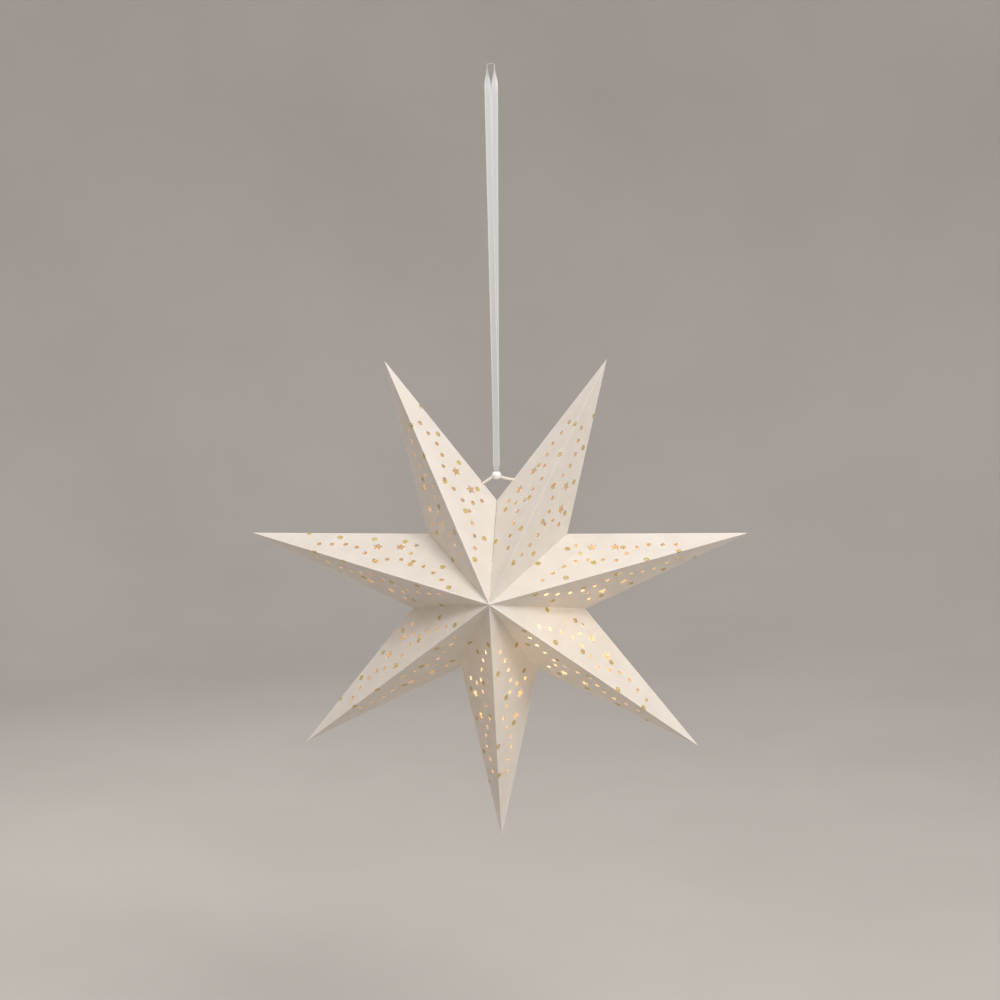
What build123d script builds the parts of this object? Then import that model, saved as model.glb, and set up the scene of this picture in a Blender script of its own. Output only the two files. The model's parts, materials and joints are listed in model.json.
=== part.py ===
"""Folding paper star lantern: seven hollow card points on a ribbon, with a battery light inside.

Millimetres, +Z up, front towards -Y. The origin is at the inner top of the ribbon's hanging loop.
The star itself is drawn about its own centre and then lowered to its place under the ribbon.
"""
from build123d import *
from math import acos, atan2, cos, degrees, hypot, pi, radians, sin, sqrt, tan
import os

# the star
points = 7
tip_radius = 300.0
waist_radius = 105.0
hub_half_depth = 105.0
star_drop = 610.0
card = 0.4
crease_gap = 0.15
back_hub_relief = 5.0

# the pattern in each panel, as shares of the ridge's length and of the panel's depth
hole_diameter = 5.5
cut_star_radius = 6.8
cut_star_waist = 3.1
hole_row = [
    (0.736, 0.170),
    (0.691, 0.237),
    (0.645, 0.317),
    (0.598, 0.325),
    (0.553, 0.261),
    (0.503, 0.177),
    (0.459, 0.268),
    (0.411, 0.345),
    (0.395, 0.518),
    (0.398, 0.705),
    (0.365, 0.383),
    (0.316, 0.341),
    (0.267, 0.275),
    (0.220, 0.186),
]
cut_stars = [(0.527, 0.455), (0.448, 0.582)]

# the bead, the tie cords and their knots
bead_rise = 30.2
bead_radius = 5.6
bead_height = 9.2
bead_bore = 5.0
cord_diameter = 2.6
cord_clearance = 0.4
cord_seat = 1.8
left_tie_offset = 27.0
right_tie_offset = 33.0
tie_hole_radius = 2.6
knot_radius = 3.0
knot_depth = 6.2
knot_bite = 1.2

# the ribbon
ribbon_width = 7.6
ribbon_thickness = 0.4
ribbon_layer_gap = 0.5
ribbon_gathered_width = 4.0
ribbon_gathered_thickness = 0.8
ribbon_gather_length = 9.0
ribbon_joined_length = 82.0
ribbon_twist_length = 29.0
loop_radius = 4.2

# the light: hanger wire
wire_diameter = 1.6
light_x = 10.0
light_below_waist = 43.0
wire_to_lug = 5.0
wire_beyond_lug = 4.5
wire_hook_rise = 5.5
wire_stub = 4.0

# the light: cap and its lug
light_radius = 22.0
cap_thickness = 3.0
cap_below_pivot = 5.0
lug_radius = 3.2
lug_thickness = 3.0
lug_clearance = 0.5
skirt_wall = 1.6
skirt_depth = 5.0
bayonet_clearance = 0.3
bayonet_reach = 1.4
bayonet_height = 1.6
bayonet_half_angle = 10.0
bayonet_turn = 30.0
cap_gap = 0.2

# the light: case, cells and contacts
case_wall = 2.5
case_height = 20.0
floor_thickness = 1.6
floor_depth = 8.4
cell_diameter = 20.0
cell_thickness = 3.2
cell_clearance = 0.3
holder_wall = 1.5
holder_height = 5.6
contact_radius = 4.0
contact_thickness = 0.3
spring_width = 4.0
spring_length = 12.0
spring_gap = 0.3

# the light: board, screws and lamps
board_radius = 18.5
board_thickness = 1.2
post_height = 4.0
post_radius = 2.4
screw_circle = 14.0
screw_count = 3
screw_radius = 0.75
screw_clearance = 0.1
screw_head_radius = 1.9
screw_head_height = 1.2
screw_length = 3.2
board_hole_clearance = 0.35
led_circle = 8.0
led_count = 4
led_radius = 2.5
led_flange = 0.4
led_flange_height = 1.0
led_body = 2.6

# the light: diffuser and switch
diffuser_wall = 1.4
diffuser_dome = 12.0
diffuser_flange = 1.5
diffuser_collar = 3.0
diffuser_collar_wall = 1.2
diffuser_fit = 0.2
dome_inset = 1.5
switch_travel = 3.0
switch_stem = 2.4
switch_stem_height = 2.0
switch_clearance = 0.3
switch_head = 4.4
switch_head_height = 3.2
switch_head_depth = 1.2
switch_head_gap = 0.4
switch_plate = 5.6
switch_plate_height = 2.6
switch_plate_depth = 1.2
switch_plate_gap = 1.4

os.makedirs("parts", exist_ok=True)
to_star = Pos(0, 0, -star_drop)
turn = 360.0 / points


def save(shape, name):
    export_step(shape, f"parts/{name}.step")


def rim_point(radius, angle):
    """A point in the star's middle plane, the angle counted from +X towards +Z."""
    return Vector(radius * cos(radians(angle)), 0, radius * sin(radians(angle)))


def tip(k):
    return rim_point(tip_radius, 90 + turn * (k - 0.5))


def waist(k):
    return rim_point(waist_radius, 90 + turn * k)


def hub(face):
    return Vector(0, -hub_half_depth if face == "front" else hub_half_depth, 0)


# one panel: u runs from the hub along the ridge to the tip, v from the ridge to the waist
ridge = hypot(tip_radius, hub_half_depth)
valley = hypot(waist_radius, hub_half_depth)
side = (tip(1) - waist(0)).length
hub_angle = acos((ridge**2 + valley**2 - side**2) / (2 * ridge * valley))
waist_u = valley * cos(hub_angle)
waist_v = valley * sin(hub_angle)


def panel_plane(k, side_name, face):
    """The panel's own plane at its hub corner, x along the ridge and z out of the star."""
    start = hub(face)
    along = (tip(k) - start).normalized()
    corner = waist(k - 1) if side_name == "a" else waist(k)
    normal = along.cross(corner - start).normalized()
    outward = -1 if face == "front" else 1
    if normal.Y * outward < 0:
        normal = -normal
    return Plane(origin=start, x_dir=along, z_dir=normal)


# half of the angle in each crease, which sets how far square card edges stay back from it
first_normal = panel_plane(1, "a", "front").z_dir
half_ridge = acos(abs(first_normal.dot(rim_point(1, 180 + turn / 2))))
half_valley = acos(abs(first_normal.dot(rim_point(1, 180))))
half_side = acos(abs(first_normal.Y))
ridge_inset = card / 2 / tan(half_ridge) + crease_gap
valley_inset = card / 2 / tan(half_valley) + crease_gap
side_inset = card / 2 / tan(half_side) + crease_gap


def inset_line(p, q, inset_p, inset_q, inner):
    """The line p to q moved towards the inner point, by its own amount at each end."""
    d = (q - p).normalized()
    across = Vector(-d.Y, d.X)
    if across.dot(inner - p) < 0:
        across = -across
    return p + across * inset_p, q + across * inset_q


def crossing(first, second):
    """Where two lines in the panel's plane cross."""
    p, q = first
    s, e = second
    d = q - p
    g = e - s
    w = s - p
    share = (w.X * g.Y - w.Y * g.X) / (d.X * g.Y - d.Y * g.X)
    return p + d * share


def cut_star(u, v):
    """A five-pointed star with one point towards the tip of the panel."""
    corners = []
    for i in range(10):
        radius = cut_star_radius if i % 2 == 0 else cut_star_waist
        corners.append((u + radius * cos(pi * i / 5), v + radius * sin(pi * i / 5)))
    return make_face(Polyline(*corners, close=True))


def panel(k, side_name, face):
    """One flat panel of a point, with its row of holes and its two stars."""
    h = Vector(0, 0)
    t = Vector(ridge, 0)
    w = Vector(waist_u, waist_v)
    middle = (h + t + w) * (1 / 3)
    hub_inset = ridge_inset + (back_hub_relief if face == "back" else 0)
    ridge_line = inset_line(h, t, hub_inset, ridge_inset, middle)
    valley_line = inset_line(h, w, valley_inset, valley_inset, middle)
    side_line = inset_line(t, w, side_inset, side_inset, middle)
    corners = [
        crossing(ridge_line, valley_line),
        crossing(ridge_line, side_line),
        crossing(valley_line, side_line),
    ]
    flat = make_face(Polyline(*[(c.X, c.Y) for c in corners], close=True))
    cuts = [Pos(u * ridge, v * waist_v) * Circle(hole_diameter / 2) for u, v in hole_row]
    cuts += [cut_star(u * ridge, v * waist_v) for u, v in cut_stars]
    tie_offset = {(1, "a"): left_tie_offset, (points, "b"): right_tie_offset}.get((k, side_name))
    if tie_offset:
        tie = w + (t - w).normalized() * tie_offset
        cuts.append(Pos(tie.X, tie.Y) * Circle(tie_hole_radius))
    flat = flat - cuts
    plane = panel_plane(k, side_name, face)
    corner = waist(k - 1) if side_name == "a" else waist(k)
    if plane.y_dir.dot(corner - plane.origin) < 0:
        flat = mirror(flat, Plane.XZ)
    plate = extrude(flat, card / 2, dir=(0, 0, 1), both=True)
    return to_star * (plane.location * plate)


for k in range(1, points + 1):
    for side_name in ("a", "b"):
        for face in ("front", "back"):
            save(panel(k, side_name, face), f"point_{k}_{face}_panel_{side_name}")

# the bead sits over the seam between the two top points
bead_z = waist_radius + bead_rise
bead_centre = Vector(0, 0, bead_z)
bead = Sphere(bead_radius) & Box(4 * bead_radius, 4 * bead_radius, bead_height)
bead -= Cylinder(bead_bore / 2, 2 * bead_height)
bead = Pos(bead_centre) * bead


def tie_point(k, corner, offset):
    """Where a tie cord passes through the side crease of a top point."""
    return corner + (tip(k) - corner).normalized() * offset


def rod(start, end, diameter):
    """A straight round rod from one point to another."""
    plane = Plane(origin=start, z_dir=end - start)
    return plane * extrude(Circle(diameter / 2), (end - start).length)


left_hole = tie_point(1, waist(0), left_tie_offset)
right_hole = tie_point(points, waist(0), right_tie_offset)
left_way = (left_hole - bead_centre).normalized()
right_way = (right_hole - bead_centre).normalized()
left_knot_centre = left_hole + left_way * knot_depth
right_knot_centre = right_hole + right_way * knot_depth
cord_in_bead = bead_radius - cord_seat
cord_off_bead = bead_radius + cord_clearance

# the hanger wire runs from the left knot along the top crease, down to the light and through its lug
pivot_z = waist_radius - light_below_waist
run_way = (waist(0) - tip(1)).normalized()
wire_x = light_x - wire_to_lug
run_length = (wire_x - left_knot_centre.X) / run_way.X
wire_points = [
    left_knot_centre - run_way * wire_stub,
    left_knot_centre + run_way * run_length,
    Vector(wire_x, 0, pivot_z),
    Vector(light_x + wire_beyond_lug, 0, pivot_z),
    Vector(light_x + wire_beyond_lug, 0, pivot_z + wire_hook_rise),
]
wire_radii = [10.0, 2.0 * wire_diameter, 1.5 * wire_diameter]
wire_path = FilletPolyline(*wire_points, radius=wire_radii)
wire_start = Plane(origin=wire_path @ 0, z_dir=wire_path % 0)
hanger = sweep(wire_start * Circle(wire_diameter / 2), path=wire_path)
print("hanger wire length", round(wire_path.length, 1), "bend radii", wire_radii)

# each cord ends a little way inside its knot, short of the wire through the left one
cord_short = knot_radius - knot_bite
left_cord = rod(
    bead_centre + left_way * cord_in_bead,
    left_knot_centre - left_way * cord_short,
    cord_diameter,
)
right_cord = rod(
    bead_centre + right_way * cord_off_bead,
    right_knot_centre - right_way * cord_short,
    cord_diameter,
)
# the knots are turned so that the seam of each ball faces away from what passes through it
knot = Rot(0, 0, 90) * Sphere(knot_radius)
left_knot = Pos(left_knot_centre) * knot - hanger - left_cord
right_knot = Pos(right_knot_centre) * knot - right_cord
bead -= left_cord
print("left tie cord, bead to hole", round((left_hole - bead_centre).length - bead_radius, 1))
print("right tie cord, bead to hole", round((right_hole - bead_centre).length - bead_radius, 1))
save(to_star * bead, "bead")
save(to_star * left_cord, "left_tie_cord")
save(to_star * right_cord, "right_tie_cord")
save(to_star * left_knot, "left_cord_knot")
save(to_star * right_knot, "right_cord_knot")
save(to_star * hanger, "light_hanger")

# the ribbon: up the left strand, over the loop and down the right strand, as a row of flat sections
ribbon_foot = bead_z + 0.5
ribbon_neck = bead_z + bead_height / 2 + 1.0
ribbon_full = ribbon_neck + ribbon_gather_length
ribbon_join = bead_z + ribbon_joined_length
loop_inner = loop_radius - ribbon_thickness / 2
loop_centre = star_drop - loop_inner
twist_foot = loop_centre - ribbon_twist_length
layer = (ribbon_layer_gap + ribbon_thickness) / 2
gathered_layer = (ribbon_layer_gap + ribbon_gathered_thickness) / 2
strand_lean = loop_radius / (loop_centre - ribbon_join)


def strand_offset(z):
    """How far a strand stands off the middle: none where the strands are joined, then widening."""
    return max(0.0, (z - ribbon_join) * strand_lean)


# each section of the left strand: place, width, thickness and how far it has turned
left_sections = [
    (Vector(0, -gathered_layer, ribbon_foot), ribbon_gathered_width, ribbon_gathered_thickness, 0.0),
    (Vector(0, -gathered_layer, ribbon_neck), ribbon_gathered_width, ribbon_gathered_thickness, 0.0),
    (Vector(0, -layer, ribbon_full), ribbon_width, ribbon_thickness, 0.0),
    (Vector(0, -layer, ribbon_join), ribbon_width, ribbon_thickness, 0.0),
    (Vector(-strand_offset(twist_foot), -layer, twist_foot), ribbon_width, ribbon_thickness, 0.0),
]
twist_steps = 6
for i in range(1, twist_steps + 1):
    share = i / twist_steps
    z = twist_foot + ribbon_twist_length * share
    place = Vector(-strand_offset(z), -layer * (1 - share), z)
    left_sections.append((place, ribbon_width, ribbon_thickness, 90.0 * share))


def flat_section(place, way, across, width, thickness):
    return Plane(origin=place, x_dir=across, z_dir=way) * Rectangle(width, thickness)


sections = []
for place, width, thickness, turned in left_sections:
    across = Vector(cos(radians(turned)), sin(radians(turned)), 0)
    sections.append(flat_section(place, Vector(0, 0, 1), across, width, thickness))
loop_steps = 8
for i in range(1, loop_steps):
    a = pi * (1 - i / loop_steps)
    place = Vector(loop_radius * cos(a), 0, loop_centre + loop_radius * sin(a))
    way = Vector(sin(a), 0, -cos(a))
    sections.append(flat_section(place, way, Vector(0, 1, 0), ribbon_width, ribbon_thickness))
for place, width, thickness, turned in reversed(left_sections):
    across = Vector(-cos(radians(turned)), sin(radians(turned)), 0)
    place = Vector(-place.X, -place.Y, place.Z)
    sections.append(flat_section(place, Vector(0, 0, -1), across, width, thickness))
ribbon = loft(sections, ruled=True)
ribbon_length = 2 * (loop_centre - ribbon_foot) + pi * loop_radius
print("ribbon length", round(ribbon_length, 1), "loop radius", loop_radius)
save(to_star * ribbon, "ribbon")

# the light, drawn about the pivot in its lug
to_light = to_star * Pos(light_x, 0, pivot_z)


def ring(outer, inner, low, high):
    """A ring, or a disc where the inner radius is zero, between two heights."""
    body = Pos(0, 0, (low + high) / 2) * Cylinder(outer, high - low)
    if inner > 0:
        body -= Pos(0, 0, (low + high) / 2) * Cylinder(inner, 2 * (high - low))
    return body


def block(low, high):
    """A box between two opposite corners."""
    size = [high[i] - low[i] for i in range(3)]
    middle = [(high[i] + low[i]) / 2 for i in range(3)]
    return Pos(*middle) * Box(*size)


def sector(inner, outer, low, high, first, last):
    """Part of a ring, between two angles."""
    outline = Pos((inner + outer) / 2, (low + high) / 2) * Rectangle(outer - inner, high - low)
    return Rot(0, 0, first) * revolve(Plane.XZ * outline, Axis.Z, last - first)


# cap: plate, lug for the wire, skirt and two bayonet lugs
cap_top = -cap_below_pivot
cap_under = cap_top - cap_thickness
case_inner = light_radius - case_wall
skirt_radius = case_inner - bayonet_clearance
skirt_foot = cap_under - skirt_depth
lug_plane = Plane.YZ
lug_outline = Circle(lug_radius) + Pos(0, -cap_below_pivot / 2) * Rectangle(2 * lug_radius, cap_below_pivot)
lug_outline -= Circle(wire_diameter / 2 + lug_clearance)
lug = extrude(lug_plane * lug_outline, lug_thickness / 2, dir=(1, 0, 0), both=True)
cap = ring(light_radius, 0, cap_under, cap_top) + lug
cap += ring(skirt_radius, skirt_radius - skirt_wall, skirt_foot, cap_under)
bayonet_low = skirt_foot + 0.4
bayonet_high = bayonet_low + bayonet_height
for middle in (90, 270):
    cap += sector(
        skirt_radius - skirt_wall / 2,
        skirt_radius + bayonet_reach,
        bayonet_low,
        bayonet_high,
        middle - bayonet_half_angle,
        middle + bayonet_half_angle,
    )
save(to_light * cap, "light_cap")

# case: wall, floor under the cells, cell holder, board posts, bayonet slots and switch slot
case_top = cap_under - cap_gap
case_foot = case_top - case_height
floor_top = case_top - floor_depth
floor_under = floor_top - floor_thickness
case = ring(light_radius, case_inner, case_foot, case_top)
case += ring(case_inner + case_wall / 2, 0, floor_under, floor_top)
holder_inner = cell_diameter / 2 + cell_clearance
case += ring(holder_inner + holder_wall, holder_inner, floor_top, floor_top + holder_height)
slot_reach = skirt_radius + bayonet_reach + bayonet_clearance
slot_half_angle = bayonet_half_angle + degrees(bayonet_clearance / skirt_radius) + 1.0
for middle in (90, 270):
    case -= sector(
        skirt_radius,
        slot_reach,
        bayonet_low - bayonet_clearance,
        bayonet_high + bayonet_clearance,
        middle - slot_half_angle,
        middle + bayonet_turn + slot_half_angle,
    )
    case -= sector(
        skirt_radius,
        slot_reach,
        bayonet_low - bayonet_clearance,
        case_top + 1.0,
        middle + bayonet_turn - slot_half_angle,
        middle + bayonet_turn + slot_half_angle,
    )
board_top = floor_under - post_height
screw_places = [Rot(0, 0, 360.0 / screw_count * i + 90) * Pos(screw_circle, 0, 0) for i in range(screw_count)]
for place in screw_places:
    case += place * ring(post_radius, 0, board_top, floor_under)
for place in screw_places:
    case -= place * ring(screw_radius + screw_clearance, 0, board_top - 1.0, floor_under)
switch_middle = floor_top + switch_clearance + switch_plate_height / 2 + 0.4
slot_half = switch_stem_height / 2 + switch_clearance
case -= block(
    (case_inner - 2.0, -switch_stem / 2 - switch_clearance, switch_middle - slot_half),
    (
        light_radius + 1.0,
        switch_travel + switch_stem / 2 + switch_clearance,
        switch_middle + slot_half,
    ),
)
save(to_light * case, "light_case")

# two coin cells on a flat contact, with an arched spring contact under the cap
cell_low = floor_top + contact_thickness
save(to_light * ring(contact_radius, 0, floor_top, cell_low), "lower_contact")
save(to_light * ring(cell_diameter / 2, 0, cell_low, cell_low + cell_thickness), "lower_coin_cell")
cell_top = cell_low + 2 * cell_thickness
save(to_light * ring(cell_diameter / 2, 0, cell_low + cell_thickness, cell_top), "upper_coin_cell")
spring_low = cell_top + spring_gap
spring_rise = cap_under - spring_low - contact_thickness
spring_curve = ThreePointArc(
    (-spring_length / 2, cap_under - contact_thickness / 2),
    (0, cap_under - contact_thickness / 2 - spring_rise),
    (spring_length / 2, cap_under - contact_thickness / 2),
)
spring_outline = trace(spring_curve, contact_thickness)
spring = extrude(Plane.XZ * spring_outline, spring_width / 2, dir=(0, 1, 0), both=True)
spring &= ring(light_radius, 0, spring_low - 1.0, cap_under)
save(to_light * spring, "spring_contact")

# circuit board on the posts, with its screws and lamps on the underside
board_under = board_top - board_thickness
board = ring(board_radius, 0, board_under, board_top)
for place in screw_places:
    board -= place * ring(screw_radius + board_hole_clearance, 0, board_under - 1.0, board_top + 1.0)
save(to_light * board, "circuit_board")
screws = []
for place in screw_places:
    head = ring(screw_head_radius, 0, board_under - screw_head_height, board_under)
    shank = ring(screw_radius, 0, board_under, board_under + board_thickness + screw_length)
    screws.append(to_light * (place * (head + shank)))
save(Compound(screws), "board_screws")
led_tip = board_under - led_flange_height - led_body
for i in range(led_count):
    led = ring(led_radius + led_flange, 0, board_under - led_flange_height, board_under)
    led += ring(led_radius, 0, led_tip, board_under)
    led += Pos(0, 0, led_tip) * Sphere(led_radius)
    place = Rot(0, 0, 360.0 / led_count * (i + 0.5)) * Pos(led_circle, 0, 0)
    save(to_light * (place * led), f"led_{i + 1}")

# frosted diffuser under the case
collar_radius = case_inner - diffuser_fit
flange_under = case_foot - diffuser_flange
dome_base = light_radius - dome_inset
dome_radius = (dome_base**2 + diffuser_dome**2) / (2 * diffuser_dome)
dome_centre = flange_under - diffuser_dome + dome_radius
below = block((-100, -100, flange_under - 100), (100, 100, flange_under))
shell = Pos(0, 0, dome_centre) * Sphere(dome_radius) & below
shell -= Pos(0, 0, dome_centre) * Sphere(dome_radius - diffuser_wall)
collar_inner = collar_radius - diffuser_collar_wall
diffuser = shell + ring(light_radius, collar_inner, flange_under, case_foot)
diffuser += ring(collar_radius, collar_inner, case_foot, case_foot + diffuser_collar)
save(to_light * diffuser, "diffuser")

# slider of the on/off switch in the side of the case
stem_half = switch_stem / 2
head_x = light_radius + switch_head_gap
plate_x = case_inner - switch_plate_gap
slider = block(
    (plate_x, -stem_half, switch_middle - switch_stem_height / 2),
    (head_x, stem_half, switch_middle + switch_stem_height / 2),
)
slider += block(
    (head_x, -switch_head / 2, switch_middle - switch_head_height / 2),
    (head_x + switch_head_depth, switch_head / 2, switch_middle + switch_head_height / 2),
)
slider += block(
    (plate_x - switch_plate_depth, -switch_plate / 2, switch_middle - switch_plate_height / 2),
    (plate_x, switch_plate / 2, switch_middle + switch_plate_height / 2),
)
save(to_light * slider, "switch_slider")
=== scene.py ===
# %% [markdown]
# # A folding paper star lantern
# Seven hollow points of white card, punched with small holes and stars and printed with gold dots,
# hang from a white ribbon. A battery light inside, helped by painted lamp light on the card's inner
# faces, makes the holes glow. The solid pieces come from the frame, and each lesson step below gives
# one of them its finished shape or its finish.

# %% Load the frame
import json
import math

import bmesh
import bpy
from mathutils import Matrix, Vector


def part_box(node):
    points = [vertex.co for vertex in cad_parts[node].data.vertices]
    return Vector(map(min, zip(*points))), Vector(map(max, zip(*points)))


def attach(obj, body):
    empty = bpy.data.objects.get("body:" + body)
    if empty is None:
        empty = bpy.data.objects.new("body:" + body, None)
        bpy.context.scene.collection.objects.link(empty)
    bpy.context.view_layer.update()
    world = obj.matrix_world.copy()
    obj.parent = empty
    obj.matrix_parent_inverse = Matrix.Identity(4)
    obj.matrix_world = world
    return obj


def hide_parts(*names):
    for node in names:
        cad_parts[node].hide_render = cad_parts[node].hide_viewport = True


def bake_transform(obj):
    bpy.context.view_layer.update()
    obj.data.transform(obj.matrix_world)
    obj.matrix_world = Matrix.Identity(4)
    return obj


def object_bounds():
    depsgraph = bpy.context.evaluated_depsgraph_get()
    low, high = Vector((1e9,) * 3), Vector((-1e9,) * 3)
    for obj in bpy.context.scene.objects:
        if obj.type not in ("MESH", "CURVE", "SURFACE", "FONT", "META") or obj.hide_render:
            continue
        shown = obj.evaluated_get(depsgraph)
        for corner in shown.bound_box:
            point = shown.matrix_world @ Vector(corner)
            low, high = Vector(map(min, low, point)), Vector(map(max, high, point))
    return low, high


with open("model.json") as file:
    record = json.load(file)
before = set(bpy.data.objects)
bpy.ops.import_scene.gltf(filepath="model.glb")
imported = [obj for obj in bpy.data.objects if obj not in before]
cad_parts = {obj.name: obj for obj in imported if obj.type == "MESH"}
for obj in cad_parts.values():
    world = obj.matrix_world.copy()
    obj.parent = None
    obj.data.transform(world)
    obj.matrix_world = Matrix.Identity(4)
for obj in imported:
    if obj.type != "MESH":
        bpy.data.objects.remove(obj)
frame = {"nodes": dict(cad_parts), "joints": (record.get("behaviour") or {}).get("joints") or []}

cad_low, cad_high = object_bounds()
nodes = frame["nodes"]
joints = {joint["name"]: joint for joint in frame["joints"]}

# %% [markdown]
# ## Where the star is
# The star is drawn from four sizes: how far its tips and its waists stand from the middle, how far
# its hub stands out in front, and how thick the card is. The swivel of the ribbon runs through the
# star's centre, so the frame already says where that is. Points are counted counter-clockwise from
# the upper left one.

# %% Star sizes and corners
mm = 0.001
points = 7
tip_radius = 300 * mm
waist_radius = 105 * mm
hub_half_depth = 105 * mm
card = 0.4 * mm
star_centre = Vector(joints["ribbon_twist"]["pos_m"])
point_turn = math.tau / points


def rim_point(radius, turns):
    """A point in the star's middle plane, some steps counter-clockwise from the top."""
    angle = math.pi / 2 + point_turn * turns
    return star_centre + Vector((radius * math.cos(angle), 0, radius * math.sin(angle)))


def panel_corners(k, side, face):
    """Hub, tip and waist of one panel. Side a is the clockwise half of its point."""
    depth = -hub_half_depth if face == "front" else hub_half_depth
    waist = rim_point(waist_radius, k - 1 if side == "a" else k)
    return star_centre + Vector((0, depth, 0)), rim_point(tip_radius, k - 0.5), waist


hub, tip, waist = panel_corners(1, "a", "front")
ridge = (tip - hub).length
hub_angle = (tip - hub).angle(waist - hub)
waist_u = (waist - hub).length * math.cos(hub_angle)
waist_v = (waist - hub).length * math.sin(hub_angle)
print("panel: ridge", round(ridge, 4), "waist at", round(waist_u, 4), round(waist_v, 4))

# %% Placing things
def placed(name, data):
    """A new object of the scene, which stays at the origin unless it is moved."""
    thing = bpy.data.objects.new(name, data)
    bpy.context.scene.collection.objects.link(thing)
    return thing


def laid_at(origin, *axes):
    """The move that lays the world's origin and axes on a place and its own three directions."""
    return Matrix.Translation(origin) @ Matrix(axes).transposed().to_4x4()


print("star centre:", [round(value, 3) for value in star_centre])

# %% [markdown]
# ## The camera
# The picture was taken a little from the right and from above. The camera stands 2.5 m from the
# star, so the near hub and the far tips keep the right proportions. It looks at a point above the
# star, which leaves room for the ribbon without shifting the lens.

# %% Camera
view_distance = 2.5
view_azimuth = math.radians(5.75)
view_elevation = math.radians(9.83)
view_roll = math.radians(0.8)
lens_in_frame_widths = 2.112
aim_right = 3.6 * mm
aim_up = 105 * mm

across = Vector((math.cos(view_azimuth), math.sin(view_azimuth), 0))
back = Vector((
    math.sin(view_azimuth) * math.cos(view_elevation),
    -math.cos(view_azimuth) * math.cos(view_elevation),
    math.sin(view_elevation),
))
aim = star_centre + across * aim_right + back.cross(across) * aim_up
eye = star_centre + back * view_distance
axis_back = (eye - aim).normalized()
axis_right = Vector((0, 0, 1)).cross(axis_back).normalized()
axis_up = axis_back.cross(axis_right)
rolled_right = axis_right * math.cos(view_roll) - axis_up * math.sin(view_roll)
rolled_up = axis_right * math.sin(view_roll) + axis_up * math.cos(view_roll)

camera_data = bpy.data.cameras.new("camera")
camera_data.lens = lens_in_frame_widths * camera_data.sensor_width
camera = placed("camera", camera_data)
camera.matrix_world = laid_at(eye, rolled_right, rolled_up, axis_back)
bpy.context.scene.camera = camera
print("camera: lens", round(camera_data.lens, 1), "mm")

# %% [markdown]
# ## Chaining nodes
# Shaders and Geometry Nodes are both trees of nodes, and clicking them together in code gets long.
# A wire is one socket that can be added to, multiplied and compared like a number, and each such
# sum adds its own node. Every other kind of node comes from the one method `add`.

# %% Wires between nodes
class Wire:
    """A socket of a node tree that more nodes can be chained from."""

    def __init__(self, tree, socket=None):
        self.tree = tree
        self.socket = socket

    def add(self, kind, settings=(), inputs=(), output=0):
        """Any node: its type, its settings, its sockets' values or links, and the output to go on from."""
        node = self.tree.nodes.new(kind)
        for name, value in dict(settings).items():
            setattr(node, name, value)
        for name, value in dict(inputs).items():
            for one in value if isinstance(value, list) else [value]:
                if isinstance(one, Wire):
                    self.tree.links.new(one.socket, node.inputs[name])
                else:
                    node.inputs[name].default_value = one
        return Wire(self.tree, node.outputs[output] if node.outputs else None)

    def other(self, output):
        """Another output of the same node."""
        return Wire(self.tree, self.socket.node.outputs[output])

    def maths(self, operation, *values):
        return self.add("ShaderNodeMath", {"operation": operation}, dict(enumerate(values)))

    def vectors(self, operation, *values, output=0):
        return self.add("ShaderNodeVectorMath", {"operation": operation}, dict(enumerate(values)), output)

    def scaled(self, factor):
        """This vector times a number."""
        return self.add("ShaderNodeVectorMath", {"operation": "SCALE"}, {0: self, "Scale": factor})

    def absolute(self):
        return self.maths("ABSOLUTE", self)

    def sine(self):
        return self.maths("SINE", self)

    def mix(self, low, high):
        """A colour that goes from low to high as this number goes from 0 to 1."""
        settings = {"data_type": "RGBA", "clamp_factor": True}
        return self.add("ShaderNodeMix", settings, {0: self, 6: low, 7: high}, 2)

    def smooth(self, low, high):
        """0 below low, 1 above high and a soft step between them."""
        settings = {"interpolation_type": "SMOOTHSTEP"}
        return self.add("ShaderNodeMapRange", settings, {0: self, 1: low, 2: high, 3: 0.0, 4: 1.0})

    def __add__(self, other):
        return self.maths("ADD", self, other)

    def __sub__(self, other):
        return self.maths("SUBTRACT", self, other)

    def __rsub__(self, other):
        return self.maths("SUBTRACT", other, self)

    def __mul__(self, other):
        return self.maths("MULTIPLY", self, other)

    def __truediv__(self, other):
        return self.maths("DIVIDE", self, other)

    def __lt__(self, other):
        return self.maths("LESS_THAN", self, other)

    def __gt__(self, other):
        return self.maths("GREATER_THAN", self, other)

    __radd__ = __add__
    __rmul__ = __mul__


print("wires ready")

# %% [markdown]
# ## White card with gold dots
# The card is matt, off-white and thin enough for light to come through, so its shader is a mix of
# a plain surface and a translucent one. Each panel carries its own flat map, in shares of the ridge,
# so the print, the painted highlights along the creases and the fibres follow the card. The dots are
# foil: metal where the mask is 1, with a ragged edge, some grain, worn specks and painted glitter,
# bright glints and dark reflections mottled into the gold. They are printed on the outer side only,
# which the panel's mesh marks. A picture texture could do the same, but would blur when seen close.
# A painted shadow greys the top seam, and the inner faces carry painted lamp light, a warm emission
# that adds to the lamp's light inside the card.

# %% Starting a finish
def new_finish(name):
    """An empty material, and a wire to build it from."""
    material = bpy.data.materials.new(name)
    material.use_nodes = True
    material.node_tree.nodes.clear()
    return material, Wire(material.node_tree)


def spread_noise(start, where, scale, detail=3.0, rough=0.55):
    """A cloudy number from 0 to 1 that changes over a surface."""
    return start.add(
        "ShaderNodeTexNoise", (), {"Vector": where, "Scale": scale, "Detail": detail, "Roughness": rough}
    )


print("materials of the frame:", len(bpy.data.materials))

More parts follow.
